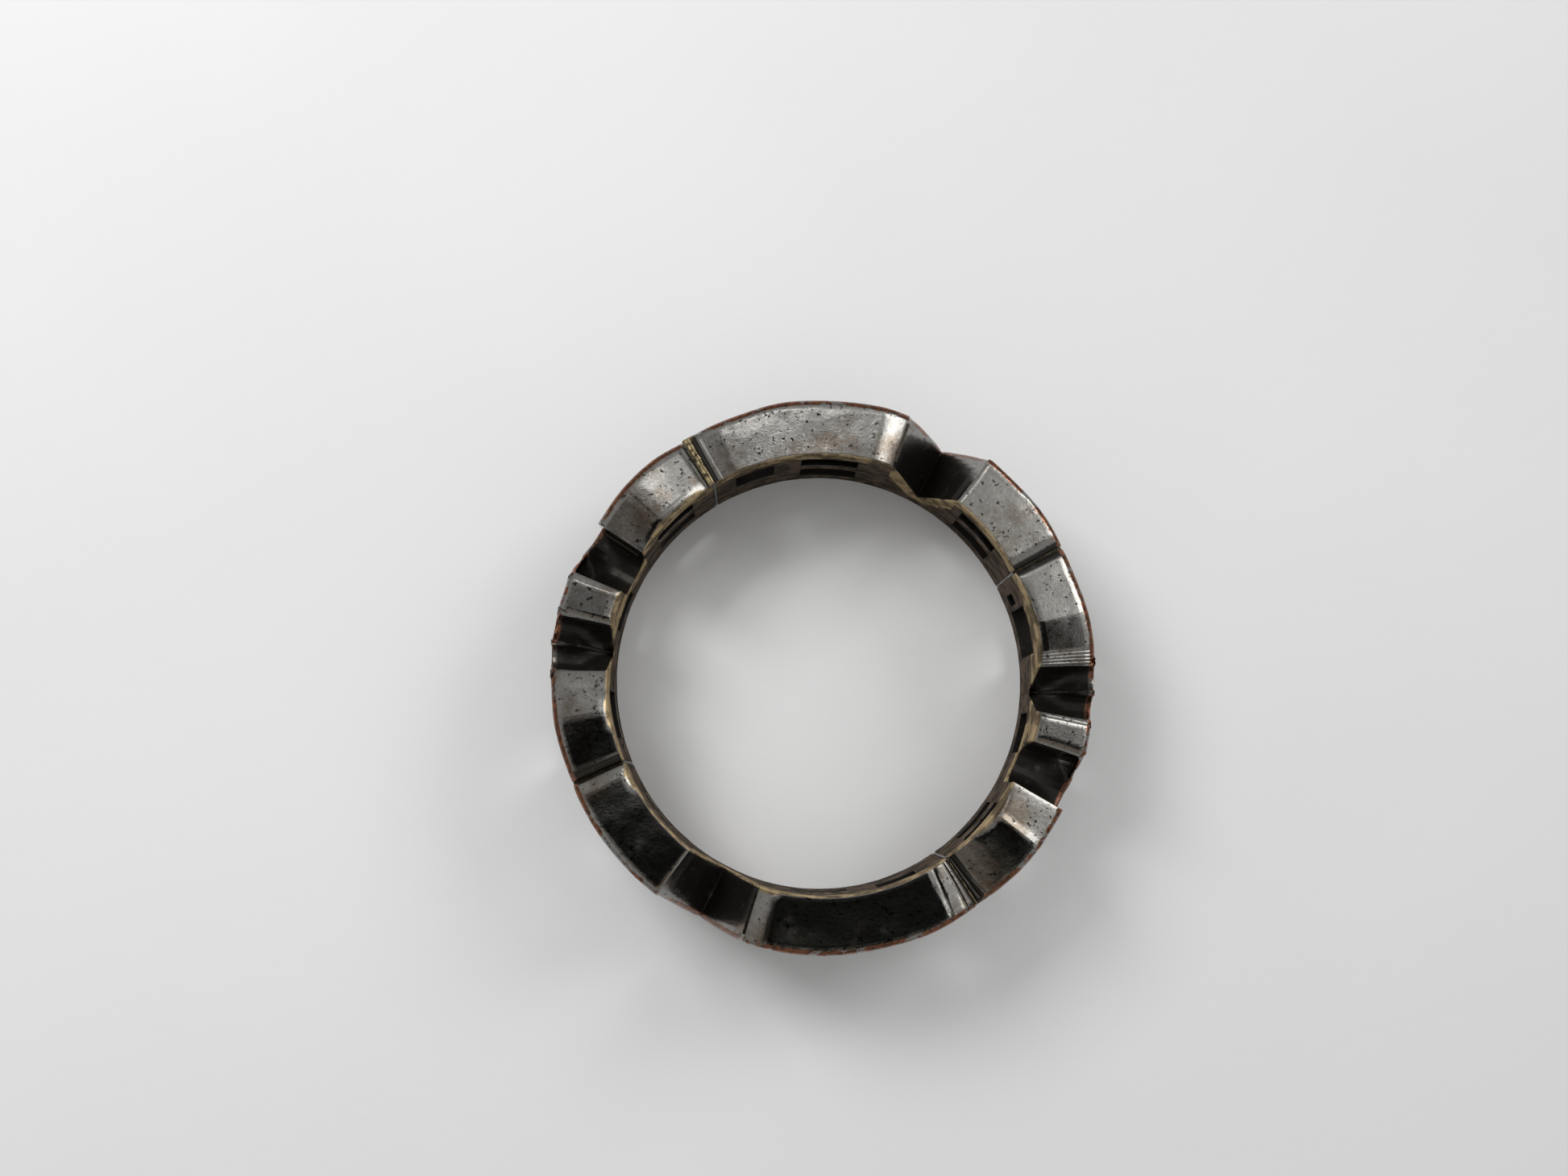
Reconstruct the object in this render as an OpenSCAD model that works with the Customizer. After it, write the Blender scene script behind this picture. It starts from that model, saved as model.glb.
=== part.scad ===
// Band ring cast as twelve openwork blocks that are soldered edge to edge.
// It lies on its side: the band's axis is +Z, the lower rim is at z = 0 and
// the upper rim, which carries the notches, is at z = band_w.

/* [Band] */
// Bore diameter, a men's ring size
inner_d = 20; // [16:0.5:22]
// Diameter over the outer face
outer_d = 25; // [23.5:0.5:28]
// Width of the band along its axis
band_w = 6.5; // [6:0.1:9]

/* [Rim notches] */
// Depth of the V in each valley block
valley_depth = 3.9; // [2:0.1:4]
// Width of that V at the rim, along the band
valley_width = 3.9; // [2:0.1:3.9]
// Depth of the round-bottomed pit in each peak block
pit_depth = 2.6; // [1.5:0.1:3]
// Width of that pit
pit_width = 2.2; // [1.4:0.1:2.2]
// Depth of the two scoops either side of the peak and dome seam
scoop_depth = 1.7; // [1:0.1:2]
// Width of one scoop
scoop_width = 1.14; // [0.8:0.02:1.14]
// How far the ridge between the two scoops stands below the rim
ridge_drop = 1.0; // [0.2:0.1:1.4]
// How far the dome block's top falls at its ends
dome_drop = 0.35; // [0.1:0.05:0.6]
// How far the shoulder block's top falls towards its first seam
shoulder_drop = 0.55; // [0.2:0.05:0.8]

/* [Windows] */
// Height of the plain rail below every window
rail_h = 0.8; // [0.8:0.1:1.2]
// Thickness of the bar across a tall window
bar_t = 0.45; // [0.3:0.05:0.6]
// Depth of the panel sunk into the outer face round the windows
panel_depth = 0.3; // [0.1:0.05:0.5]

/* [Solder] */
// Thickness of the solder in each seam
seam_t = 0.12; // [0.08:0.02:0.2]
// How far the solder stops short of the rim and the faces
seam_recess = 0.3; // [0.1:0.05:0.4]

/* [Hidden] */
$fn = 96;
inner_r = inner_d / 2;
outer_r = outer_d / 2;
mid_r = (inner_r + outer_r) / 2;
wall = outer_r - inner_r;
over = 1;                         // how far a cutter runs past the metal
seam_deg = deg_of(seam_t);
window_top = 5.2;                 // top edge of the tallest windows
panel_margin = 3;                 // degrees of frame left beside a panel
ridge_half = 0.8;                 // degrees of ridge on each side of the seam

// Where each block starts, in degrees counter-clockwise from +X. The blocks
// were fitted by hand, so the two halves of the band differ a little.
starts = [51.5, 71, 120.5, 147, 173.7, 203.6,
          232.5, 252.8, 304, 330.5, 355.8, 387.4];
block_count = len(starts);
kinds = ["valley", "long", "shoulder", "peak", "dome", "square"];
kind_count = len(kinds);

block_nodes = [for (i = [0:block_count - 1])
    str(kinds[i % kind_count], "_block_", i < kind_count ? 1 : 2)];
seam_nodes = [for (i = [0:block_count - 1]) str("solder_seam_", i + 1)];

function deg_of(length) = length / mid_r * 180 / PI;
function mm_of(angle) = angle * PI / 180 * mid_r;
function start_of(i) = starts[i] + seam_deg / 2;
function end_of(i) =
    (i + 1 < block_count ? starts[i + 1] : starts[0] + 360) - seam_deg / 2;

// A piece of the band's wall between two angles, two heights and two radii
module sector(a0, a1, z0, z1, r0 = inner_r, r1 = outer_r) {
    rotate([0, 0, a0])
        rotate_extrude(angle = a1 - a0)
            translate([r0, z0])
                square([r1 - r0, z1 - z0]);
}

// An opening through the wall
module window(a0, a1, z0, z1) {
    sector(a0, a1, z0, z1, inner_r - over, outer_r + over);
}

// Two openings, one above the other, with a bar between them
module barred_window(a0, a1) {
    bar_z = (rail_h + window_top - bar_t) / 2;
    window(a0, a1, rail_h, bar_z);
    window(a0, a1, bar_z + bar_t, window_top);
}

// The sunk panel on the outer face
module panel(i, z1) {
    sector(start_of(i) + panel_margin, end_of(i) - panel_margin,
        rail_h - 0.4, z1, outer_r - panel_depth, outer_r + over);
}

// A cutter with a flat outline, pushed through the rim along the radius.
// The outline's x runs along the band and its y is the height.
module rim_cut(angle) {
    rotate([0, 0, angle])
        translate([inner_r - over, 0, 0])
            rotate([90, 0, 90])
                linear_extrude(wall + 2 * over)
                    children();
}

module vee_outline() {
    half = valley_width / 2;
    rise = over * valley_depth / half;
    polygon([[0, band_w - valley_depth],
             [half + over, band_w + rise],
             [-half - over, band_w + rise]]);
}

module pit_outline(width, depth) {
    r = width / 2;
    translate([0, band_w - depth + r])
        circle(r);
    translate([-r, band_w - depth + r])
        square([width, depth - r + over]);
}

// A scoop, and the lowered half of the ridge beside it. The ridge is on the
// side that `side` points to: 1 is counter-clockwise.
module scoop_outline(side) {
    pit_outline(scoop_width, scoop_depth);
    translate([side > 0 ? 0 : -scoop_width, band_w - ridge_drop])
        square([scoop_width, ridge_drop + over]);
}

// What is left above a top that falls by `drop` over the length `run`
module crown_outline(left, right, run, drop) {
    crown_r = run * run / (2 * drop);
    difference() {
        translate([-left, band_w - 2 * drop])
            square([left + right, 2 * drop + over]);
        translate([0, band_w - crown_r])
            circle(crown_r, $fn = 360);
    }
}

// One plain block of the band, before its own cuts
module blank(i) {
    sector(start_of(i), end_of(i), 0, band_w);
}

module valley_block(i) {
    middle = (start_of(i) + end_of(i)) / 2;
    color("dimgray")
        difference() {
            blank(i);
            rim_cut(middle) vee_outline();
        }
}

module long_block(i) {
    color("gray")
        difference() {
            blank(i);
            barred_window(starts[i] + 9, starts[i] + 24.5);
            window(starts[i] + 32, starts[i] + 43, 2.2, window_top - 0.2);
            panel(i, window_top + 0.4);
        }
}

module shoulder_block(i) {
    crease = start_of(i) + 17;
    run = mm_of(17);
    color("slategray")
        difference() {
            blank(i);
            rim_cut(crease) crown_outline(run + over, 0, run, shoulder_drop);
            barred_window(starts[i] + 7, starts[i] + 20);
            panel(i, window_top + 0.4);
        }
}

module peak_block(i) {
    pit_at = start_of(i) + deg_of(pit_width) / 2;
    scoop_at = end_of(i) - deg_of(scoop_width) / 2;
    color("dimgray")
        difference() {
            blank(i);
            rim_cut(pit_at) pit_outline(pit_width, pit_depth);
            rim_cut(scoop_at - ridge_half) scoop_outline(1);
            window(starts[i] + 9, starts[i] + 20, rail_h, 3.2);
        }
}

module dome_block(i) {
    scoop_at = start_of(i) + deg_of(scoop_width) / 2;
    middle = (start_of(i) + 5.5 + end_of(i)) / 2;
    run = mm_of(end_of(i) - middle);
    color("slategray")
        difference() {
            blank(i);
            rim_cut(middle) crown_outline(run + over, run + over, run, dome_drop);
            rim_cut(scoop_at + ridge_half) scoop_outline(-1);
            window(starts[i] + 10, starts[i] + 23, rail_h, window_top - 0.4);
            window(starts[i] + 24.5, starts[i] + 27.5, 1.3, 3.1);
        }
}

module square_block(i) {
    color("gray")
        difference() {
            blank(i);
            barred_window(starts[i] + 8, starts[i] + 21);
            panel(i, window_top + 0.4);
        }
}

// The block that stands at place i in the band
module block(i) {
    kind = kinds[i % kind_count];
    if (kind == "valley") valley_block(i);
    if (kind == "long") long_block(i);
    if (kind == "shoulder") shoulder_block(i);
    if (kind == "peak") peak_block(i);
    if (kind == "dome") dome_block(i);
    if (kind == "square") square_block(i);
}

// The solder in front of block i. Beside a valley or a pit the wall is lower.
module solder_seam(i) {
    kind = kinds[i % kind_count];
    fall = kind == "peak" ? pit_depth - pit_width / 2
         : kind == "dome" ? ridge_drop
         : kind == "shoulder" || kind == "square" ? shoulder_drop
         : 0;
    color("goldenrod")
        sector(starts[i] - seam_deg / 2, starts[i] + seam_deg / 2,
            seam_recess, band_w - fall - seam_recess,
            inner_r + seam_recess, outer_r - panel_depth);
}

for (i = [0:block_count - 1]) {
    block(i);
    solder_seam(i);
}
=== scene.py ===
# %% [markdown]
# # A band ring of cast openwork blocks
# The ring is twelve small cast blocks that are soldered edge to edge and
# plated nearly black. It has no moving part, so every piece rides on the one
# body. This lesson loads the engineering model as a frame, reads the sizes
# from it, and builds each block again with the soft edges, seams, plating and
# wear that a real cast ring has. The noise that makes the metal wavy starts
# from the clock unless it is given a seed, so it gets one here, and every run
# gives the same ring.

# %% The frame and the tools
import bpy
import bmesh
from math import atan2, ceil, cos, hypot, pi, radians, sin
from mathutils import Matrix, Vector, noise


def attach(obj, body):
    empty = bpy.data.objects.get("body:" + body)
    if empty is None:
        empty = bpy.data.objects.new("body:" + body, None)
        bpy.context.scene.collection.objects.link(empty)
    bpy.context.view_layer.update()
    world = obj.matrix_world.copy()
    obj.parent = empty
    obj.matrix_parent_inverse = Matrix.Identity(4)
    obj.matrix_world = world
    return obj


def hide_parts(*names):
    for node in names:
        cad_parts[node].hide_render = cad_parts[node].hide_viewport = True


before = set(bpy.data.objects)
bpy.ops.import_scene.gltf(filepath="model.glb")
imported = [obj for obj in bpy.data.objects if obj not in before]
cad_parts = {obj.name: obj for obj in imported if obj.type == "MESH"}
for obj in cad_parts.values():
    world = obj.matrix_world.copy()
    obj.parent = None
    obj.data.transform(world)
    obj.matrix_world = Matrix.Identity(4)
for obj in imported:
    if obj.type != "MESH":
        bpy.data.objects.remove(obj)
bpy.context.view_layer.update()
NOISE_SEED = 7
noise.seed_set(NOISE_SEED)
print("nodes in the frame:", len(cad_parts))

# %% [markdown]
# The driving sizes come from the frame's own corners: the height of the band,
# the outer radius from the whole box, and the bore radius from the vertex that
# is nearest the axis. Everything below is worked out in millimetres, because
# the ring is small, and turned into metres once, when a block is bent round.

# %% The ring's sizes
MM = 0.001


def node_points(name):
    return [v.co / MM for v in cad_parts[name].data.vertices]


blocks = [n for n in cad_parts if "_block_" in n]
every_point = [p for n in blocks for p in node_points(n)]
BAND_W = max(p.z for p in every_point)
INNER_R = min(hypot(p.x, p.y) for p in every_point)
OUTER_R = max(hypot(p.x, p.y) for p in every_point)
WALL = OUTER_R - INNER_R
MID_R = (INNER_R + OUTER_R) / 2
print(f"band {BAND_W:.2f} mm, bore radius {INNER_R:.2f}, outer radius {OUTER_R:.2f}")


def block_span(name):
    """The angle at which a block starts, and how long it is at the middle of the wall."""
    points = node_points(name)
    middle = sum(points, Vector()) / len(points)
    centre = atan2(middle.y, middle.x)
    turns = [(atan2(p.y, p.x) - centre + pi) % (2 * pi) - pi for p in points]
    return centre + min(turns), (max(turns) - min(turns)) * MID_R


def along(angle):
    """Degrees round the band as millimetres along the middle of the wall."""
    return radians(angle) * MID_R


SEAM = block_span("solder_seam_1")[1]
print(f"a seam of solder is {SEAM:.2f} mm thick")


# %% [markdown]
# Each kind of block has its own upper rim. When the band is unrolled flat, x
# runs along it and a rim is a line of points, each with how far it stands
# below the full width of the band. A stretch that falls away starts with a
# slope and steepens evenly, which is how a file or a polishing wheel leaves
# the end of a bar. The notches were cut from inside the band, so they deepen
# towards the bore and run out towards the outer face. Each kind therefore has
# three rims with the same number of points: at the bore, in the middle of the
# wall and at the outer face. They are written from left to right.

# %% Rims of the six kinds of block
BORE, MIDDLE, OUTSIDE = 0, 1, 2
VALLEY_DEPTH = (5.0, 4.2, 3.9)
NOTCH_GAP = 0.02
PIT_WIDTH = 2.2
PIT_DEPTH = (3.3, 3.0, 2.0)
SCOOP_WIDTH = 0.98
SCOOP_DEPTH = (3.9, 1.8, 0.75)
RIDGE = 0.10
RIDGE_DROP = (3.8, 1.0, 0.45)
CREASE_AT = along(17)


def fall(width, slope, drop, steps=6):
    """How far a stretch has fallen at each step along it: (distance, drop)."""
    rest = drop - slope * width
    return [(width * i / steps, slope * width * i / steps + rest * (i / steps) ** 2)
            for i in range(steps + 1)]


def to_right(x, points, base=0.0):
    return [(x + run, base + drop) for run, drop in points]


def to_left(x, points, base=0.0):
    return [(x - run, base + drop) for run, drop in reversed(points)]


def round_pit(left, width, depth, steps=10):
    """A round-bottomed pit between two straight walls."""
    r = width / 2
    turns = [pi * i / steps for i in range(steps + 1)]
    return [(left + r - r * cos(a), depth - r + r * sin(a)) for a in turns]


def leaning(pit, left_drop, right_drop, flat=0.0):
    """The same points along the band, on a straight line from one drop to the other."""
    left, right = pit[0][0], pit[-1][0]
    share = [max(0.0, ((x - left) / (right - left) - flat) / (1 - flat)) for x, _ in pit]
    return [(x, left_drop + (right_drop - left_drop) * t) for (x, _), t in zip(pit, share)]


def valley_rim(length, side):
    return [(0, 0.10), (length / 2, VALLEY_DEPTH[side]), (length, 0.30)]


def long_rim(length, side):
    return (to_left(1.05, fall(1.05, 0.07, 0.30, 8))
            + to_right(length - 1.25, fall(1.25, 0.15, 0.23)))


def shoulder_rim(length, side):
    return (to_left(CREASE_AT, fall(CREASE_AT, 0.0, 0.55, 10))
            + [(CREASE_AT + 0.28, 0.06), (length, 0.23)])


def peak_rim(length, side):
    left, right = PIT_WIDTH + NOTCH_GAP, length - RIDGE - SCOOP_WIDTH - NOTCH_GAP
    pit = round_pit(0, PIT_WIDTH, PIT_DEPTH[side])
    if side == OUTSIDE:
        pit = leaning(pit, PIT_DEPTH[side], 0.25, 0.4)
    scoop = round_pit(right + NOTCH_GAP, SCOOP_WIDTH, SCOOP_DEPTH[side], 8)
    if side == BORE:
        scoop = leaning(scoop, 0.9, SCOOP_DEPTH[side])
    return (pit + to_left(left + 0.40, fall(0.36, 0.10, 0.12, 4))
            + to_right(right - 0.42, fall(0.38, 0.10, 0.16, 4))
            + scoop + [(length, RIDGE_DROP[side])])


def dome_rim(length, side):
    start = RIDGE + SCOOP_WIDTH
    crest = start + 0.47 * (length - start)
    scoop = round_pit(RIDGE, SCOOP_WIDTH, SCOOP_DEPTH[side], 8)
    if side == BORE:
        scoop = leaning(scoop, SCOOP_DEPTH[side], 0.9)
    return ([(0, RIDGE_DROP[side])] + scoop
            + to_left(start + 0.85, fall(0.80, 0.24, 0.22, 4), 0.20)
            + [(crest - 0.10, 0.012), (crest + 0.10, 0.012), (length - 0.40, 0.155)]
            + to_right(length - 0.34, fall(0.34, 0.15, 0.12, 3), 0.165))


def square_rim(length, side):
    return (to_left(0.62, fall(0.62, 0.12, 0.20))
            + to_right(length - 0.22, fall(0.22, 0.10, 0.06, 3)))


RIMS = {"valley": valley_rim, "long": long_rim, "shoulder": shoulder_rim,
        "peak": peak_rim, "dome": dome_rim, "square": square_rim}
print("rims:", ", ".join(RIMS))

# %% [markdown]
# The windows that pierce the wall are given as boxes on the same unrolled
# sheet: two ends along the band in degrees, and two heights in millimetres. A
# tall window has a bar across it, so it is two boxes. Three kinds of block also
# have a shallow panel sunk into the outer face, round their windows.

# %% Windows and panels
RAIL = 0.8
BAR = 0.45
WINDOW_TOP = 5.2
BAR_Z = (RAIL + WINDOW_TOP - BAR) / 2


def barred(left, right):
    return [(left, right, RAIL, BAR_Z), (left, right, BAR_Z + BAR, WINDOW_TOP)]


WINDOWS = {"valley": [],
           "long": barred(9, 24.5) + [(32, 43, 2.2, WINDOW_TOP - 0.2)],
           "shoulder": barred(7, 20),
           "peak": [(9, 20, RAIL, 3.2)],
           "dome": [(10, 23, RAIL, WINDOW_TOP - 0.4), (24.5, 27.5, 1.3, 3.1)],
           "square": barred(8, 21)}
PANELLED = ("long", "shoulder", "square")
PANEL_DEPTH = 0.3
PANEL_MARGIN = along(3)
PANEL_STEP = 0.12
PANEL_LOW, PANEL_HIGH = 0.5, WINDOW_TOP + 0.4


def window_boxes(kind):
    """A kind's windows in millimetres: left, right, bottom, top."""
    return [(along(a), along(b), c, d) for a, b, c, d in WINDOWS[kind]]


print("windows:", 2 * sum(len(w) for w in WINDOWS.values()))

# %% [markdown]
# A block starts as its outline, filled as one face. Bisecting that face along
# the windows' edges and deleting the cells inside them is the mesh version of
# piercing sheet metal. Extruding the rest by the thickness of the wall gives a
# flat block, ready for its edges to be rounded. The faces of the upper rim get
# their own number, so that later steps can find them.

# %% A flat block


def rim_line(kind, length, side=MIDDLE):
    """The rim as points of the sheet, from right to left."""
    return [(x, BAND_W - drop) for x, drop in reversed(RIMS[kind](length, side))]


def nearest(x, z, line):
    """How far a point of the sheet is from a line, and where on it: (off, segment, share)."""
    best = (99.0, 0, 0.0)
    for i, ((ax, az), (bx, bz)) in enumerate(zip(line, line[1:])):
        run, rise = bx - ax, bz - az
        t = ((x - ax) * run + (z - az) * rise) / max(run * run + rise * rise, 1e-12)
        t = min(max(t, 0.0), 1.0)
        best = min(best, (hypot(x - ax - t * run, z - az - t * rise), i, t))
    return best


def off_line(x, z, line):
    return nearest(x, z, line)[0]


def on_line(line, segment, share):
    """The point of a line at a place that `nearest` gave."""
    a, b = Vector(line[segment]), Vector(line[segment + 1])
    return a.lerp(b, share)


def cut_lines(bm, below, values, normal):
    """Splits the part of the sheet below a height along straight lines."""
    for value in values:
        faces = [f for f in bm.faces if f.calc_center_median().z < below]
        chosen = set(faces)
        geom = [e for e in bm.edges if chosen.intersection(e.link_faces)] + faces
        geom += [v for v in bm.verts if chosen.intersection(v.link_faces)]
        bmesh.ops.bisect_plane(bm, geom=geom, dist=1e-5,
                               plane_co=Vector(normal) * value, plane_no=normal)


def flat_block(kind, length):
    bm = bmesh.new()
    rim = rim_line(kind, length)
    bm.faces.new([bm.verts.new((x, 0, z)) for x, z in [(0, 0), (length, 0)] + rim])
    openings = window_boxes(kind)
    heights = sorted({h for w in openings for h in w[2:]})
    sides = sorted({s for w in openings for s in w[:2]})
    far_side = length - PANEL_MARGIN
    if kind in PANELLED:
        heights += [PANEL_LOW, PANEL_LOW + PANEL_STEP, PANEL_HIGH - PANEL_STEP, PANEL_HIGH]
        sides += [PANEL_MARGIN, PANEL_MARGIN + PANEL_STEP, far_side - PANEL_STEP, far_side]
    cut_lines(bm, BAND_W + 1, heights, (0, 0, 1))
    cut_lines(bm, max(heights, default=0), sides, (1, 0, 0))
    pierced = [f for f in bm.faces
               if any(w[0] < f.calc_center_median().x < w[1]
                      and w[2] < f.calc_center_median().z < w[3] for w in openings)]
    bmesh.ops.delete(bm, geom=pierced, context="FACES")
    grown = bmesh.ops.extrude_face_region(bm, geom=list(bm.faces))
    raised = [g for g in grown["geom"] if isinstance(g, bmesh.types.BMVert)]
    bmesh.ops.translate(bm, verts=raised, vec=(0, WALL, 0))
    if kind in PANELLED:
        half = PANEL_STEP / 2
        for v in raised:
            if (PANEL_MARGIN + half < v.co.x < far_side - half
                    and PANEL_LOW + half < v.co.z < PANEL_HIGH - half):
                v.co.y -= PANEL_DEPTH
    bmesh.ops.recalc_face_normals(bm, faces=bm.faces)
    for f in bm.faces:
        c = f.calc_center_median()
        across = abs(f.normal.y) < 0.5
        f.material_index = 1 if across and off_line(c.x, c.z, rim) < 1e-3 else 0
    return bm


sample = flat_block("square", 5.0)
print("a flat block has", len(sample.faces), "faces")
sample.free()

# %% [markdown]
# Cast and polished metal has no sharp edges, but its edges aren't all alike:
# the upper rim is broad and worn outside, finer inside the bore, and the seams
# between blocks stay crisp. A bevel modifier can read a weight on each edge,
# so one pass gives every edge its own width without breaking the corners.

# %% Edge widths
INNER_EDGE = 0.09
OUTER_EDGE = 0.30
CREASE_EDGE = 0.09
OPEN_SEAM_EDGE = 0.10
CLOSED_SEAM_EDGE = 0.025
WINDOW_EDGE = 0.09
LOWER_EDGE = 0.16
SCOOP_EDGE, RIDGE_EDGE = 0.12, 0.04
EDGE_SEGMENTS = 4
SHARP = radians(26)
CLOSED = {"valley": (True, True), "long": (True, False), "shoulder": (False, True),
          "peak": (True, True), "dome": (True, False), "square": (False, True)}


def outer_width(kind, x, length):
    """The round of the outer rim, which is narrower on the scoops and their ridges."""
    run = {"dome": x, "peak": length - x}.get(kind, length)
    if run < RIDGE + 0.05:
        return RIDGE_EDGE
    return SCOOP_EDGE if run < RIDGE + SCOOP_WIDTH else OUTER_EDGE


def edge_width(edge, kind, length):
    """How wide the round on an edge of a flat block is."""
    if len(edge.link_faces) != 2 or edge.calc_face_angle() < SHARP:
        return 0.0
    a, b = (v.co for v in edge.verts)
    seam_edge = None
    for end, shut in zip((0, length), CLOSED[kind]):
        if abs(a.x - end) < 1e-4 and abs(b.x - end) < 1e-4:
            seam_edge = CLOSED_SEAM_EDGE if shut else OPEN_SEAM_EDGE
    if abs(a.y - b.y) > 0.5 * WALL:
        room = min(f.calc_area() for f in edge.link_faces) / edge.calc_length()
        return seam_edge or min(CREASE_EDGE, 0.4 * room)
    if a.z < 1e-4 and b.z < 1e-4:
        return LOWER_EDGE
    if any(f.material_index == 1 for f in edge.link_faces):
        outer = outer_width(kind, (a.x + b.x) / 2, length)
        return INNER_EDGE if a.y < 0.5 * WALL else outer
    if seam_edge:
        return seam_edge
    pierced = any(abs(f.normal.y) < 0.3 for f in edge.link_faces)
    return WINDOW_EDGE if pierced else 0.0


def rounded(bm, kind, length):
    """The flat block as a new bmesh with every edge rounded to its own width."""
    weight = bm.edges.layers.float.new("bevel_weight_edge")
    for edge in bm.edges:
        edge[weight] = edge_width(edge, kind, length) / OUTER_EDGE
    mesh = bpy.data.meshes.new("flat")
    bm.to_mesh(mesh)
    bm.free()
    piece = bpy.data.objects.new("flat", mesh)
    bpy.context.scene.collection.objects.link(piece)
    bevel = piece.modifiers.new("edges", "BEVEL")
    bevel.limit_method = "WEIGHT"
    bevel.width = OUTER_EDGE
    bevel.segments = EDGE_SEGMENTS
    bevel.profile = 0.5
    bevel.use_clamp_overlap = False
    graph = bpy.context.evaluated_depsgraph_get()
    soft = bmesh.new()
    soft.from_mesh(piece.evaluated_get(graph).to_mesh())
    bpy.data.objects.remove(piece)
    bpy.data.meshes.remove(mesh)
    return soft


print("edge widths from", CLOSED_SEAM_EDGE, "to", OUTER_EDGE, "mm")

# %% [markdown]
# The flat block is then sliced by evenly spaced planes, because its faces must
# be short along the bend for the wall to come out round, and because shape and
# wear are modelled by moving vertices. A file has left fine grooves across the
# rim in a few places, and the slices lie closer together at each of them.

# %% Slices
SLICE = 0.20
LEVEL = 0.5
DEPTHS = (0.12, 0.28, 0.50, 0.80, 1.15, 1.45, 1.60, 1.75, 1.90, 2.05, 2.25)
# Grooves per block: (middle in degrees, half width and depth in millimetres, slant)
GROOVES = {"dome_block_2": [(6.0 + 0.75 * i, 0.06, 0.035, 0.0) for i in range(5)],
           "dome_block_1": [(28.3, 0.10, 0.06, 0.06)],
           "long_block_1": [(46.8, 0.09, 0.06, 0.03), (48.3, 0.07, 0.07, 0.0)],
           "long_block_2": [(45.9, 0.07, 0.045, -0.10), (49.2, 0.06, 0.04, -0.04)],
           "shoulder_block_1": [(1.1, 0.08, 0.07, 0.03), (2.0, 0.07, 0.04, 0.03)],
           "shoulder_block_2": [(0.8, 0.10, 0.09, 0.05), (2.0, 0.11, 0.06, 0.12)],
           "peak_block_2": [(18.6, 0.05, 0.03, 0.0)]}


def grooves_of(name):
    return [(along(at), half, depth, slant) for at, half, depth, slant in GROOVES.get(name, [])]


def cut_through(bm, cuts):
    """Slices a whole mesh by planes, each a (normal, distance) pair."""
    for normal, value in cuts:
        geom = list(bm.verts) + list(bm.edges) + list(bm.faces)
        bmesh.ops.bisect_plane(bm, geom=geom, dist=1e-4,
                               plane_co=Vector(normal) * value, plane_no=normal)


def sliced(bm, name, length):
    columns = ceil(length / SLICE)
    cuts = [((1, 0, 0), length * i / columns) for i in range(1, columns)]
    for at, half, _, _ in grooves_of(name):
        cuts += [((1, 0, 0), at + half * step) for step in (-1, -0.5, 0, 0.5, 1)]
    cuts += [((0, 1, 0), y) for y in DEPTHS]
    cuts += [((0, 0, 1), LEVEL * i) for i in range(1, round(BAND_W / LEVEL))]
    cut_through(bm, cuts)


print("blocks with file grooves:", ", ".join(sorted(GROOVES)))

# %% [markdown]
# Two kinds of wear are pressed into the rim of the sliced block. Fingers have
# worn the edge of the bore into a shallow crescent on most blocks, and the file
# has left its grooves. Both fade out a little way below the rim.

# %% Wear
WEAR_FADE = (0.15, 0.75)
CRESCENT_DEPTH = 0.16
CRESCENT_REACH = 0.26
# Where each block is worn most, in degrees from its left end: (from, to)
CRESCENTS = {"dome_block_1": (12, 21.5), "dome_block_2": (4, 30), "shoulder_block_1": (1, 25),
             "shoulder_block_2": (8.5, 24.5), "peak_block_1": (11, 21.5),
             "peak_block_2": (9.5, 20.5), "long_block_2": (-3, 6), "square_block_1": (1, 8)}


def smooth(low, high, value):
    """0 below low, 1 above high, and a smooth step between."""
    t = min(max((value - low) / (high - low), 0.0), 1.0)
    return t * t * (3 - 2 * t)


def crescent(name, x):
    """How strongly the edge of the bore is worn at x, from 0 to 1."""
    low, high = CRESCENTS.get(name, (0, 0))
    if not along(low) < x < along(high):
        return 0.0
    return sin(pi * (x - along(low)) / (along(high) - along(low))) ** 0.7


def worn(bm, name, kind, length):
    """Presses the wear into the rim of the flat block."""
    rim = rim_line(kind, length)
    for v in bm.verts:
        x, y, z = v.co
        near = 1 - smooth(*WEAR_FADE, off_line(x, z, rim))
        if near == 0:
            continue
        sink = CRESCENT_DEPTH * crescent(name, x) * (1 - smooth(0, CRESCENT_REACH, y))
        for at, half, depth, slant in grooves_of(name):
            off = abs(x - at - slant * (y - WALL / 2)) / half
            sink += depth * max(0.0, 1 - off)
        v.co.z -= near * sink


print("blocks with a worn bore edge:", len(CRESCENTS))

# %% [markdown]
# Up to here a notch has the same depth right across the wall. Each vertex near
# the rim is now drawn from its place on the middle rim towards the same place
# on the rim at the bore, or on the one at the outer face. A vertex beside a
# window stays where it is, so that the windows keep their straight edges.

# %% The loft
LOFT_REACH = 1.0
LOFT_SPREAD = 1.7
WINDOW_CLEAR = (0.02, 0.40)


def off_windows(x, z, openings):
    """How far a point of the sheet is from the nearest window."""
    return min((hypot(max(a - x, 0, x - b), max(c - z, 0, z - d)) for a, b, c, d in openings),
               default=9.0)


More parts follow.
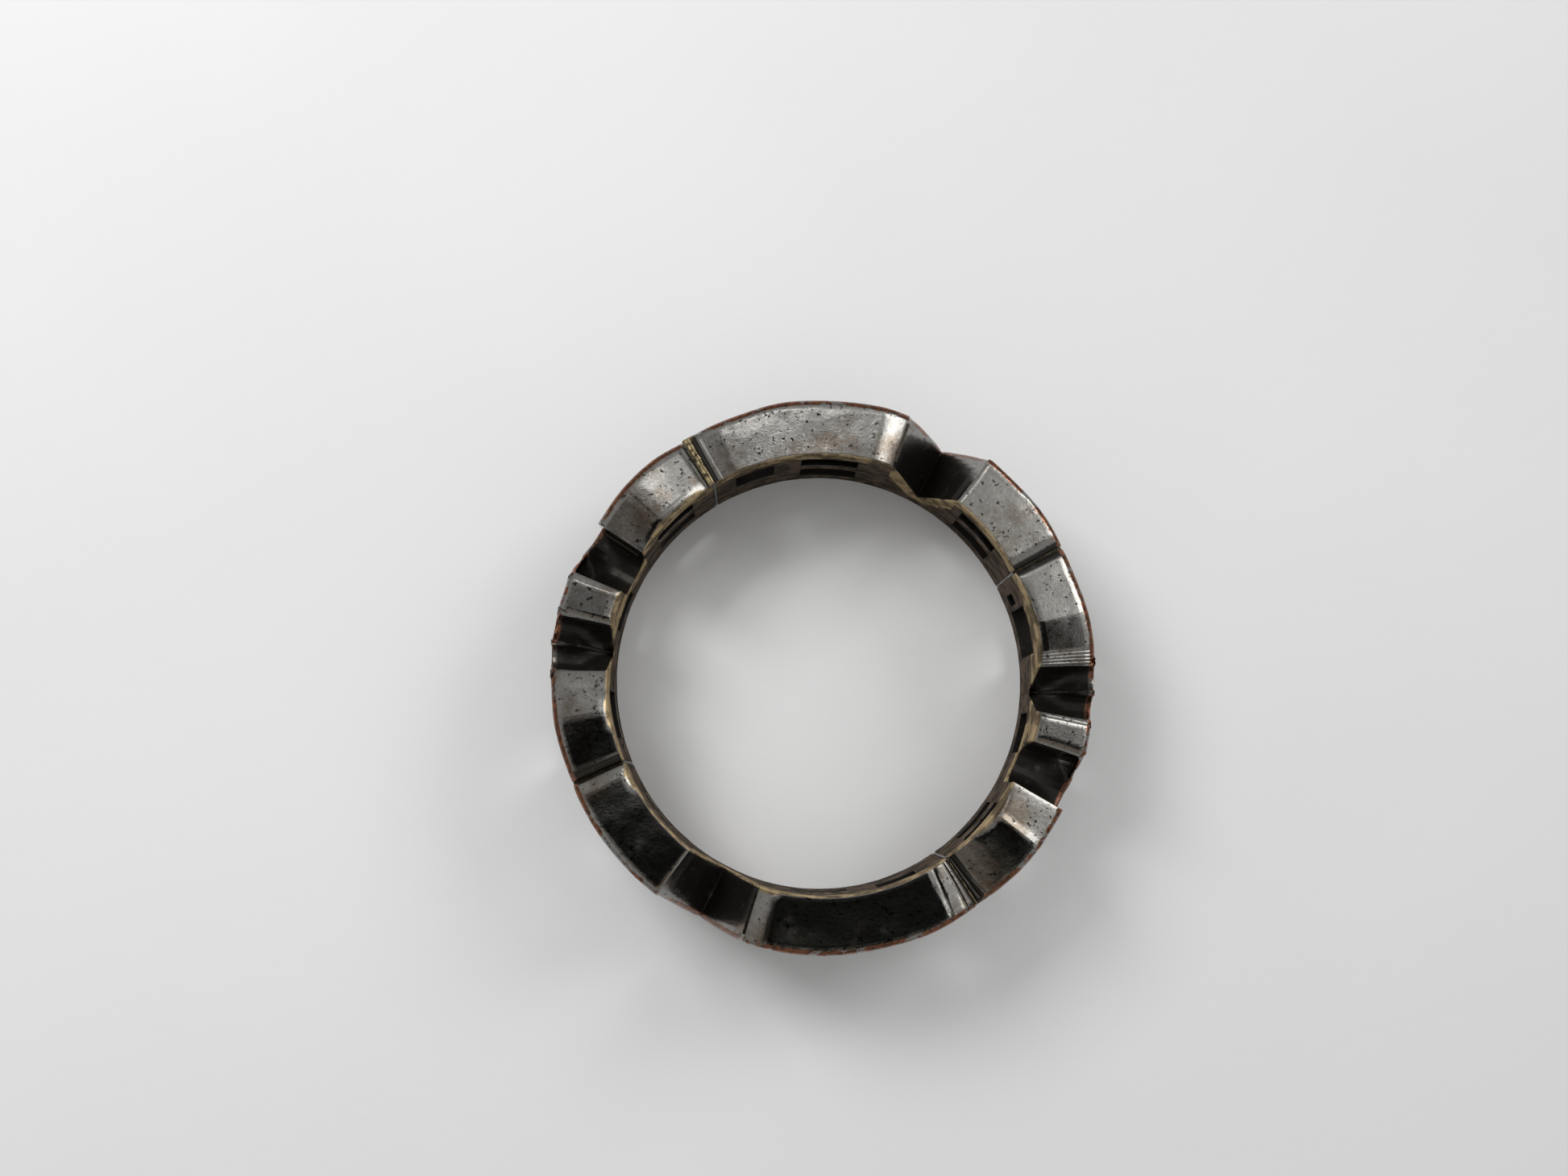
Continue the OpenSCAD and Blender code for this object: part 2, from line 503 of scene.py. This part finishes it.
def lofted(bm, kind, length):
    """Draws the rim towards its bore line inside and its outer line outside."""
    lines = [rim_line(kind, length, side) for side in (BORE, MIDDLE, OUTSIDE)]
    openings = window_boxes(kind)
    for v in bm.verts:
        off, segment, share = nearest(v.co.x, v.co.z, lines[MIDDLE])
        bore, middle, outside = (on_line(line, segment, share) for line in lines)
        depth = 2 * v.co.y / WALL
        target = bore.lerp(middle, depth) if depth < 1 else middle.lerp(outside, depth - 1)
        move = target - middle
        reach = max(LOFT_REACH, LOFT_SPREAD * move.length)
        move *= 1 - smooth(0, reach, off)
        move *= smooth(*WINDOW_CLEAR, off_windows(v.co.x, v.co.z, openings))
        v.co.x += move.x
        v.co.z += move.y


print("a pit is", PIT_DEPTH[BORE], "mm deep at the bore and", PIT_DEPTH[OUTSIDE], "outside")

# %% [markdown]
# Before it is worn and lofted, each vertex learns where it is: near the outer
# rim, near the bore's rim, on the wall of the bore, in a notch or an open seam,
# or inside a window. The materials read those marks as attributes. A mark fades
# over a short way, and the pairs below say in millimetres where a fade starts
# and where it ends.

# %% Marks
# The notch and hollow marks are masks for painted shade in the deep recesses.
MARKS = ("outer_wear", "inner_wear", "bore_wall", "notch", "hollow")
OUTER_FADE = (0.10, 0.42)
BORE_FADE = (0.05, 0.13)
RIM_FADE = (0.06, 0.16)
BRASS_LINE = 0.02
BRASS_IN = 0.12
BRASS_DOWN = 0.75
BRASS_WORN_DOWN = 0.50
NOTCH_FROM = (0.25, 0.80)
NOTCH_MARGIN = 0.20
NOTCH_RETREAT = 0.90
PIT_DARK = 0.9
SEAM_SHADE_REACH = 0.3
# How far the painted shade of an open seam spreads onto each end of a block
SEAM_SHADE_SPREAD = {"dome_block_1": (0, 0.36), "dome_block_2": (0, 0.22), "square_block_1": (0.05, 0),
              "square_block_2": (0.22, 0), "long_block_1": (0, 0.20), "long_block_2": (0, 0.10),
              "shoulder_block_1": (0.10, 0), "shoulder_block_2": (0.38, 0)}


def dark_to(kind, x, length):
    """How far out from the bore a notch is black at x."""
    if kind == "valley":
        return WALL - NOTCH_RETREAT * abs(2 * x / length - 1)
    if kind == "peak" and x < PIT_WIDTH + 0.3:
        return WALL - NOTCH_RETREAT * smooth(PIT_DARK, PIT_WIDTH, x)
    return WALL - NOTCH_MARGIN


def marks_at(name, kind, length, rim, openings, place):
    """The five marks of a vertex, in the order of MARKS."""
    x, y, z = place
    off_rim = off_line(x, z, rim)
    near_outer = hypot(WALL - y, off_rim)
    worn_here = crescent(name, x)
    brass_in = BRASS_LINE + BRASS_IN * worn_here
    brass_down = BRASS_DOWN + BRASS_WORN_DOWN * worn_here
    brass = ((1 - smooth(brass_down, brass_down + 0.45, off_rim))
             * (1 - smooth(brass_in, brass_in + 0.10, y)))
    # painted shade: the notch mark darkens the deep notches, as if in shadow
    deep = smooth(*NOTCH_FROM, BAND_W - z) * (1 - smooth(*RIM_FADE, off_rim))
    edge = dark_to(kind, x, length)
    deep *= 1 - smooth(edge - 0.05, edge + 0.08, y)
    # painted shade: the black of an open seam spreads onto the block's end beside it
    for shade_spread, to_end in zip(SEAM_SHADE_SPREAD.get(name, (0, 0)), (x, length - x)):
        if shade_spread and off_rim < SEAM_SHADE_REACH:
            deep = max(deep, 1 - smooth(shade_spread, shade_spread + 0.08, to_end))
    deep *= smooth(0.0, 0.08, y)
    # painted shade: the hollow mark blackens the insides of the windows, but not the bar
    on_bar = min(abs(z - BAR_Z), abs(z - BAR_Z - BAR)) < 0.12
    in_window = any(a - 0.03 < x < b + 0.03 and c - 0.03 < z < d + 0.03
                    for a, b, c, d in openings)
    hidden = in_window and not on_bar and 0.05 < y < WALL - 0.05
    return (1 - smooth(*OUTER_FADE, near_outer), brass, 1 - smooth(*BORE_FADE, y), deep,
            float(hidden))


def marked(bm, name, kind, length):
    """Writes the marks on every vertex of the flat block."""
    layers = [bm.verts.layers.float.new(mark) for mark in MARKS]
    rim = rim_line(kind, length)
    openings = window_boxes(kind)
    for v in bm.verts:
        for layer, value in zip(layers, marks_at(name, kind, length, rim, openings, v.co)):
            v[layer] = value


print("marks:", ", ".join(MARKS))

# %% [markdown]
# Then the flat block is bent, by reading x as an angle and y as a radius. A
# worn ring is a little out of round, so the bend is squeezed by under one
# percent. Polishing has left its faces very slightly wavy, and its bore leans
# in a little towards the rim. The foot stays flat, since the ring stands on it.

# %% The bend
OVAL_X, OVAL_Y = 0.991, 1.009
LEAN = 0.09
FOOT = 0.05
OUTLINE_WAVE, LOW_WAVE, FINE_WAVE = 0.05, 0.014, 0.007
OUTLINE_TURNS, LOW_SCALE, FINE_SCALE = 4.2, 0.9, 2.6


def bent(bm, start):
    """Bends a flat piece round the axis. Its left end comes to the angle start."""
    for v in bm.verts:
        x, y, z = v.co
        angle = start + x / MID_R
        swell = OUTLINE_WAVE * noise.noise((OUTLINE_TURNS * cos(angle),
                                            OUTLINE_TURNS * sin(angle), 0.3 * z))
        radius = INNER_R + y * (1 + swell) - LEAN * (1 - y / WALL) * z / BAND_W
        place = Vector((OVAL_X * radius * cos(angle), OVAL_Y * radius * sin(angle), z))
        if z > FOOT:
            place += LOW_WAVE * noise.noise_vector(place * LOW_SCALE)
            place += FINE_WAVE * noise.noise_vector(place * FINE_SCALE)
        v.co = place * MM


print(f"the bore leans in by {LEAN} mm at the rim")

# %% [markdown]
# All the steps now run in order for each block. A block that meets its
# neighbour at a closed seam grows by half a seam at that end, so that the two
# touch. The new piece stands for the frame's own block and rides on the body.

# %% The twelve blocks


def finished(bm, name, node):
    """Turns a bent bmesh into a piece that stands for a node of the frame."""
    bmesh.ops.recalc_face_normals(bm, faces=bm.faces)
    for f in bm.faces:
        f.smooth = True
        f.material_index = 0
    mesh = bpy.data.meshes.new(name)
    bm.to_mesh(mesh)
    bm.free()
    piece = bpy.data.objects.new(name, mesh)
    bpy.context.scene.collection.objects.link(piece)
    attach(piece, "root")
    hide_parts(node)
    return piece


def make_block(name):
    kind = name.split("_")[0]
    start, length = block_span(name)
    closed = CLOSED[kind]
    start -= SEAM / 2 / MID_R * closed[0]
    length += SEAM / 2 * (closed[0] + closed[1])
    bm = rounded(flat_block(kind, length), kind, length)
    sliced(bm, name, length)
    marked(bm, name, kind, length)
    worn(bm, name, kind, length)
    lofted(bm, kind, length)
    bent(bm, start)
    return finished(bm, "cast_" + name, name)


castings = [make_block(name) for name in sorted(blocks)]
print("castings:", len(castings), "faces:", sum(len(c.data.polygons) for c in castings))

# %% [markdown]
# Plated metal is a mirror with a dark tint, so almost all of its look comes
# from small things on top: a mottled film, fine grain, pin-head pits, and
# places where the plating has gone. Building it from a few short functions
# keeps the node tree readable: one makes a node and sets its values, and the
# others mix, threshold and combine.

# %% Node helpers


class Finish:
    """A material and short ways to add nodes to it."""

    def __init__(self, name):
        self.material = bpy.data.materials.new(name)
        self.material.use_nodes = True
        self.tree = self.material.node_tree
        self.shader = self.tree.nodes["Principled BSDF"]
        place = self.node("ShaderNodeTexCoord")
        scale = self.node("ShaderNodeMapping")
        scale.inputs["Scale"].default_value = (1 / MM, 1 / MM, 1 / MM)
        self.link(place.outputs["Object"], scale.inputs["Vector"])
        self.place = scale.outputs["Vector"]

    def node(self, kind, **values):
        made = self.tree.nodes.new(kind)
        for key, value in values.items():
            setattr(made, key, value)
        return made

    def link(self, source, socket):
        self.tree.links.new(source, socket)

    def feed(self, socket, value):
        """Links an output, or sets a plain value."""
        if hasattr(value, "links"):
            self.link(value, socket)
        else:
            socket.default_value = value

    def noise(self, scale, detail=3.0, rough=0.55, stretch=None):
        """Noise with its scale in features per millimetre."""
        source = self.place
        if stretch:
            mapping = self.node("ShaderNodeMapping")
            mapping.inputs["Scale"].default_value = stretch
            self.link(source, mapping.inputs["Vector"])
            source = mapping.outputs["Vector"]
        made = self.node("ShaderNodeTexNoise")
        made.inputs["Scale"].default_value = scale
        made.inputs["Detail"].default_value = detail
        made.inputs["Roughness"].default_value = rough
        self.link(source, made.inputs["Vector"])
        return made.outputs["Fac"]

    def math(self, operation, a, b=0.0):
        made = self.node("ShaderNodeMath", operation=operation, use_clamp=operation != "ADD")
        self.feed(made.inputs[0], a)
        self.feed(made.inputs[1], b)
        return made.outputs[0]

    def step(self, value, low, high, out_low=0.0, out_high=1.0):
        """A smooth step from low to high."""
        made = self.node("ShaderNodeMapRange", interpolation_type="SMOOTHSTEP")
        made.inputs["From Min"].default_value = low
        made.inputs["From Max"].default_value = high
        made.inputs["To Min"].default_value = out_low
        made.inputs["To Max"].default_value = out_high
        self.link(value, made.inputs["Value"])
        return made.outputs["Result"]

    def mix(self, mask, a, b):
        """Colour a where the mask is 0 and colour b where it is 1."""
        made = self.node("ShaderNodeMix", data_type="RGBA")
        self.feed(made.inputs["Factor"], mask)
        for socket, value in (("A", a), ("B", b)):
            slot = [s for s in made.inputs if s.name == socket and s.type == "RGBA"][0]
            self.feed(slot, (*value, 1.0) if isinstance(value, tuple) else value)
        return [s for s in made.outputs if s.type == "RGBA"][0]

    def mark(self, name):
        made = self.node("ShaderNodeAttribute", attribute_name=name)
        return made.outputs["Fac"]

    def bump(self, height, distance, strength, under=None):
        made = self.node("ShaderNodeBump")
        made.inputs["Distance"].default_value = distance * MM
        made.inputs["Strength"].default_value = strength
        self.link(height, made.inputs["Height"])
        if under:
            self.link(under, made.inputs["Normal"])
        return made.outputs["Normal"]


print("finishes are built with", Finish.__name__)

# %% [markdown]
# The plating is grey, with a brown film in patches. Where fingers and cloth
# rub, it has gone: the outer edge of the rim shows red copper, and the broad
# edge of the bore shows brass. The notches, the open seams and the insides of
# the windows are painted near-black as painted shade for these deep recesses.
# Each of these is a mask from the marks on the vertices, broken up by noise so
# that no border is straight.

# %% The plated finish
PLATE = (0.300, 0.292, 0.278)
DULL_PLATE = (0.205, 0.198, 0.188)
BROWN_FILM = (0.185, 0.152, 0.120)
BRIGHT_FLECK = (0.48, 0.47, 0.45)
PIT_COLOUR = (0.022, 0.018, 0.015)
BORE_PLATE = (0.115, 0.086, 0.064)
BORE_GRIME = (0.045, 0.035, 0.027)
COPPER = (0.25, 0.105, 0.060)
DARK_COPPER = (0.105, 0.062, 0.042)
BRASS = (0.38, 0.29, 0.17)
DARK_BRASS = (0.12, 0.092, 0.060)
# painted shade: the near-black of the notches, open seams and window insides
PAINTED_RECESS_SHADE = (0.022, 0.019, 0.016)


def plated():
    f = Finish("black_nickel_plate")
    patches = f.step(f.noise(0.42, 5.0, 0.62), 0.50, 0.68)
    grain = f.noise(6.0, 6.0, 0.75)
    speckle = f.noise(5.5, 3.0, 0.6)
    pits = f.math("MAXIMUM", f.step(f.noise(4.4, 3.0, 0.62), 0.385, 0.35),
                  f.step(f.noise(2.3, 2.0, 0.5), 0.30, 0.275))
    ragged = f.noise(1.3, 5.0, 0.6)
    smoky = f.step(f.noise(0.55, 4.0, 0.6), 0.58, 0.72)
    colour = f.mix(patches, PLATE, BROWN_FILM)
    colour = f.mix(f.step(grain, 0.35, 0.72, 0.0, 0.55), colour, DULL_PLATE)
    colour = f.mix(f.step(speckle, 0.62, 0.72, 0.0, 0.40), colour, BRIGHT_FLECK)
    colour = f.mix(f.math("MULTIPLY", pits, 0.85), colour, PIT_COLOUR)
    bore = f.math("MULTIPLY", f.mark("bore_wall"), f.math("SUBTRACT", 1.0, f.mark("hollow")))
    bore_tone = f.mix(f.step(ragged, 0.40, 0.60), BORE_PLATE, BORE_GRIME)
    colour = f.mix(bore, colour, bore_tone)
    # painted shade: notches, open seam ends and window insides go near-black, duller and less
    # metallic
    black = f.math("MAXIMUM", f.mark("notch"), f.mark("hollow"))
    black = f.math("MULTIPLY", black, f.step(f.noise(1.6, 4.0, 0.6), 0.22, 0.45, 0.82, 1.0))
    colour = f.mix(black, colour, PAINTED_RECESS_SHADE)
    inner = f.math("SUBTRACT", f.mark("inner_wear"), f.step(ragged, 0.35, 0.70, 0.0, 0.45))
    inner = f.step(inner, 0.25, 0.50)
    gold = f.mix(f.step(f.noise(0.9, 5.0, 0.65), 0.42, 0.60), BRASS, DARK_BRASS)
    colour = f.mix(inner, colour, gold)
    outer = f.math("MULTIPLY", f.mark("outer_wear"), f.step(f.noise(0.9, 6.0, 0.7), 0.36, 0.52))
    outer = f.step(outer, 0.40, 0.70)
    colour = f.mix(outer, colour, f.mix(f.step(speckle, 0.42, 0.60), COPPER, DARK_COPPER))
    rough = f.step(grain, 0.3, 0.8, 0.055, 0.13)
    rough = f.math("ADD", rough, f.math("MULTIPLY", smoky, 0.14))
    rough = f.math("ADD", rough, f.math("MULTIPLY", inner, 0.20))
    rough = f.math("ADD", rough, f.math("MULTIPLY", bore, 0.30))
    rough = f.math("ADD", rough, f.math("MULTIPLY", black, 0.22))
    dull = f.math("MAXIMUM", f.math("MULTIPLY", bore, 0.90), f.math("MULTIPLY", black, 0.40))
    f.link(f.math("SUBTRACT", 1.0, dull), f.shader.inputs["Metallic"])
    f.link(f.math("MULTIPLY", f.math("SUBTRACT", 1.0, bore), 0.5),
           f.shader.inputs["Specular IOR Level"])
    f.link(colour, f.shader.inputs["Base Color"])
    f.link(rough, f.shader.inputs["Roughness"])
    wave = f.bump(f.noise(0.8, 2.0, 0.5), 0.02, 0.45)
    fine = f.bump(grain, 0.014, 0.45, wave)
    scratched = f.bump(f.noise(3.0, 4.0, 0.7, stretch=(1.0, 1.0, 7.0)), 0.010, 0.35, fine)
    pitted = f.bump(f.math("MULTIPLY", pits, -1.0), 0.03, 0.5, scratched)
    dents = f.math("MULTIPLY", f.mark("outer_wear"), f.noise(3.2, 4.0, 0.65))
    f.link(f.bump(dents, 0.06, 0.7, pitted), f.shader.inputs["Normal"])
    return f.material


plate = plated()
for casting in castings:
    casting.data.materials.append(plate)
print("plated:", len(castings))

# %% [markdown]
# The solder is a duller, yellower metal that fills the bottom of each seam.
# Inside a closed seam it doesn't show, so the frame's own wafer stays and only
# its finish changes. In the four open seams it stands as a rough bead with two
# file marks along it, and in the two sharp ridges it follows the notches, so
# those six are made again from a box that is sliced, swollen and roughened.

# %% Solder
SOLDER = (0.50, 0.40, 0.23)
SOLDER_SHADE = (0.07, 0.055, 0.035)
# painted shade: the dark colour of the solder in the deeper open seams and towards the bore
BEAD_SHADE = (0.055, 0.046, 0.038)
# Seams made again: how far below the full width at the bore, in the middle and
# outside, the half width at the top, and how golden the solder is, the rest of it being painted
# shade
RIDGE_BEAD = (RIDGE_DROP[BORE] + 0.05, RIDGE_DROP[MIDDLE] + 0.05, 0.65)
BEADS = {"solder_seam_3": ((0.24,) * 3, 0.27, 1.0),
         "solder_seam_5": (RIDGE_BEAD, 0.05, 0.0), "solder_seam_11": (RIDGE_BEAD, 0.05, 0.0),
         "solder_seam_6": ((0.62,) * 3, 0.10, 0.25),
         "solder_seam_9": ((0.62,) * 3, 0.12, 0.35),
         "solder_seam_12": ((0.66,) * 3, 0.10, 0.1)}
BEAD_STEP = 0.12
BEAD_COLUMNS = 12
BEAD_SWELL = 0.6
BEAD_WIDE = 0.27
BEAD_CROWN, BEAD_LUMPS, BEAD_MARKS = 0.10, 0.06, 0.08
MARK_AT, MARK_HALF = 0.33, 0.17
GOLD_FADE = (0.05, 0.20)


def soldered():
    f = Finish("seam_solder")
    blotches = f.noise(3.0, 5.0, 0.7)
    colour = f.mix(f.step(blotches, 0.44, 0.60), SOLDER, SOLDER_SHADE)
    # painted shade: where the golden mark is low the solder is painted dark
    colour = f.mix(f.mark("golden"), BEAD_SHADE, colour)
    f.link(f.math("SUBTRACT", 1.0, f.math("MULTIPLY", f.mark("bore_wall"), 0.9)),
           f.shader.inputs["Metallic"])
    f.link(colour, f.shader.inputs["Base Color"])
    f.link(f.step(blotches, 0.3, 0.7, 0.18, 0.42), f.shader.inputs["Roughness"])
    f.link(f.bump(blotches, 0.03, 0.6), f.shader.inputs["Normal"])
    return f.material


def across_wall(three, y):
    """A value at depth y, from its values at the bore, in the middle and outside."""
    depth = 2 * y / WALL
    low, high = (three[0], three[1]) if depth < 1 else (three[1], three[2])
    return low + (high - low) * (depth if depth < 1 else depth - 1)


def bead(name):
    """A bead of solder in a seam, with two file marks along it where it is wide."""
    drops, half, golden = BEADS[name]
    start, length = block_span(name)
    low = min(p.z for p in node_points(name))
    near, far = 0.02, WALL - (0.03 if half > 0.05 else OUTER_EDGE)
    bm = bmesh.new()
    bmesh.ops.create_cube(bm, size=1)
    bmesh.ops.scale(bm, vec=(length, far - near, BAND_W - low), verts=bm.verts)
    bmesh.ops.translate(bm, vec=(length / 2, (near + far) / 2, (BAND_W + low) / 2),
                        verts=bm.verts)
    rows = int((far - near) / BEAD_STEP)
    cut_through(bm, [((0, 1, 0), near + BEAD_STEP * i) for i in range(1, rows + 1)]
                + [((1, 0, 0), length * i / BEAD_COLUMNS) for i in range(1, BEAD_COLUMNS)]
                + [((0, 0, 1), BAND_W - BEAD_STEP * i) for i in range(1, 6)])
    gold_mark = bm.verts.layers.float.new("golden")
    bore_mark = bm.verts.layers.float.new("bore_wall")
    for v in bm.verts:
        x, y, z = v.co
        # painted shade: golden fades out towards the bore, so the bead turns dark there
        v[gold_mark] = golden * smooth(*GOLD_FADE, y)
        v[bore_mark] = 1 - smooth(*GOLD_FADE, y)
        side = 2 * x / length - 1
        height = smooth(BAND_W - BEAD_SWELL, BAND_W, z)
        lump = abs(noise.noise((y * 3.1, side, start * 20)))
        mark = max(0.0, 1 - abs(abs(side) - MARK_AT) / MARK_HALF)
        v.co.x = length / 2 + side * (length / 2 + (half - length / 2) * height)
        v.co.z = low + (z - low) * (BAND_W - across_wall(drops, y) - low) / (BAND_W - low)
        v.co.z -= height * half / BEAD_WIDE * (BEAD_CROWN * side * side + BEAD_LUMPS * lump
                                               + BEAD_MARKS * mark)
    bent(bm, start)
    return finished(bm, "bead_" + name, name)


solder = soldered()
beads = [bead(name) for name in BEADS]
wafers = [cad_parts[n] for n in sorted(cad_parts)
          if n.startswith("solder_seam") and n not in BEADS]
for seam in beads + wafers:
    seam.data.materials.clear()
    seam.data.materials.append(solder)
print("beads:", len(beads), "plain wafers:", len(wafers))

# %% [markdown]
# The ring lies on a sheet of pale paper. A single large face is enough, with a
# faint tooth in its bump.

# %% The paper it lies on


def paper():
    f = Finish("paper")
    tooth = f.noise(0.9, 6.0, 0.6)
    soft = f.noise(0.03, 3.0, 0.5)
    f.link(f.mix(f.step(soft, 0.3, 0.7), (0.78, 0.782, 0.785), (0.755, 0.757, 0.762)),
           f.shader.inputs["Base Color"])
    f.shader.inputs["Roughness"].default_value = 0.85
    f.shader.inputs["Specular IOR Level"].default_value = 0.2
    f.link(f.bump(tooth, 0.05, 0.35), f.shader.inputs["Normal"])
    return f.material


def sheet(name, width, depth, centre, material):
    """A flat face for the stage."""
    bm = bmesh.new()
    bmesh.ops.create_grid(bm, x_segments=1, y_segments=1, size=0.5)
    bmesh.ops.scale(bm, vec=(width, depth, 1), verts=bm.verts)
    bmesh.ops.translate(bm, vec=centre, verts=bm.verts)
    mesh = bpy.data.meshes.new(name)
    bm.to_mesh(mesh)
    bm.free()
    mesh.materials.append(material)
    made = bpy.data.objects.new(name, mesh)
    bpy.context.scene.collection.objects.link(made)
    return made


PAPER_SIZE = 3.0
sheet("paper_sheet", PAPER_SIZE, PAPER_SIZE, (0, 0, 0), paper())
print("the paper is", PAPER_SIZE, "m square")

# %% [markdown]
# A mirror shows the room, so the room matters as much as the metal. This one
# is a pale ceiling all round, with cards that only reflections see: dark ones
# where someone leans over the ring, and bright ones that light its lands and
# draw white lines along its edges. They are hidden from the camera and cast no
# shadow. They lie in one plane at the camera's height, and a card with a higher
# layer lies a little lower, in front of the others.

# %% The cards
CARD_HEIGHT = 0.0793
LAYER_GAP = 0.0002


def card(name, left, right, near, far, brightness, layer=0):
    """A card that only glossy rays see. Its edges are in millimetres."""
    material = bpy.data.materials.new(name)
    material.use_nodes = True
    nodes = material.node_tree.nodes
    nodes.remove(nodes["Principled BSDF"])
    glow = nodes.new("ShaderNodeEmission")
    glow.inputs["Color"].default_value = (*brightness, 1)
    material.node_tree.links.new(glow.outputs[0], nodes["Material Output"].inputs["Surface"])
    made = sheet(name, (right - left) * MM, (far - near) * MM,
                 ((left + right) / 2 * MM, (near + far) / 2 * MM,
                  CARD_HEIGHT - LAYER_GAP * layer), material)
    made.visible_camera = False
    made.visible_diffuse = False
    made.visible_shadow = False
    made.visible_transmission = False


card("lens_card", -32, 31.5, -20.0, -0.8, (0.006, 0.006, 0.006), 2)
card("body_card", -32, 30, -32, -0.8, (0.045, 0.048, 0.043), 1)
card("arm_card", -45, 30, -75, -32, (0.30, 0.26, 0.22))
card("hand_card", -26, -13, 5, 16, (0.015, 0.013, 0.012), 1)
card("wrist_card", -34, -23, -0.3, 13, (0.26, 0.21, 0.16))
card("ceiling_strip", -13, 7, 32.0, 37.5, (5.2, 5.2, 5.1))
card("wall_card", 8, 29, 36, 62, (1.05, 1.05, 1.03))
card("curtain_card", 10, 33, -0.8, 29, (0.74, 0.74, 0.72))
card("window_card", 33, 95, -4, 12, (1.1, 1.1, 1.07))
card("window_corner", 29, 95, 12, 50, (4.2, 4.2, 4.1))

# %% [markdown]
# Behind the cards is the room itself. It is pale overhead and darker towards
# the floor, so the world's colour follows the height of each direction.

# %% The room
ROOM = 0.52
world = bpy.data.worlds.new("room")
world.use_nodes = True
sky = world.node_tree
direction = sky.nodes.new("ShaderNodeTexCoord")
upward = sky.nodes.new("ShaderNodeSeparateXYZ")
sky.links.new(direction.outputs["Generated"], upward.inputs["Vector"])
ramp = sky.nodes.new("ShaderNodeMapRange")
ramp.interpolation_type = "SMOOTHSTEP"
ramp.inputs["From Min"].default_value = -0.1
ramp.inputs["From Max"].default_value = 0.85
ramp.inputs["To Min"].default_value = 0.45
ramp.inputs["To Max"].default_value = 1.0
sky.links.new(upward.outputs["Z"], ramp.inputs["Value"])
shade = sky.nodes.new("ShaderNodeVectorMath")
shade.operation = "SCALE"
shade.inputs[0].default_value = (ROOM, ROOM, ROOM * 0.985)
sky.links.new(ramp.outputs["Result"], shade.inputs["Scale"])
sky.links.new(shade.outputs["Vector"], sky.nodes["Background"].inputs["Color"])
bpy.context.scene.world = world
print("the ceiling's brightness is", ROOM)

# %% [markdown]
# The two lamps are soft squares on either side, behind the ring. Reflections
# don't show them, because their outlines would draw hard patches on the metal.

# %% Lamps


def lamp(name, place, size, watts):
    """A soft square lamp that points at the ring."""
    light = bpy.data.lights.new(name, "AREA")
    light.size = size
    light.energy = watts
    made = bpy.data.objects.new(name, light)
    bpy.context.scene.collection.objects.link(made)
    made.location = place
    made.rotation_euler = (-Vector(place)).to_track_quat("-Z", "Y").to_euler()
    made.visible_glossy = False


lamp("left_lamp", (-0.085, 0.085, 0.12), 0.07, 0.15)
lamp("right_lamp", (0.16, 0.12, 0.15), 0.09, 0.15)
print("lamps:", len(bpy.data.lights))

# %% [markdown]
# The camera looks almost straight down into the bore, a hand's width above
# the paper. Its axes are worked out here, so that it has no roll.

# %% The camera
EYE = Vector((-2.89, -4.70, 79.3)) * MM
AIM = Vector((-1.71, 4.59, 0)) * MM
FOCAL = 37.0
lens = bpy.data.cameras.new("camera")
lens.lens = FOCAL
lens.clip_start = 0.001
camera = bpy.data.objects.new("camera", lens)
bpy.context.scene.collection.objects.link(camera)
gaze = (AIM - EYE).normalized()
side = gaze.cross(Vector((0, 1, 0))).normalized()
up = side.cross(gaze)
camera.matrix_world = Matrix(((side.x, up.x, -gaze.x, EYE.x), (side.y, up.y, -gaze.y, EYE.y),
                              (side.z, up.z, -gaze.z, EYE.z), (0, 0, 0, 1)))
bpy.context.scene.camera = camera
bpy.context.scene.view_settings.view_transform = "Standard"
print("the camera is", round((EYE - AIM).length / MM), "mm from the paper")
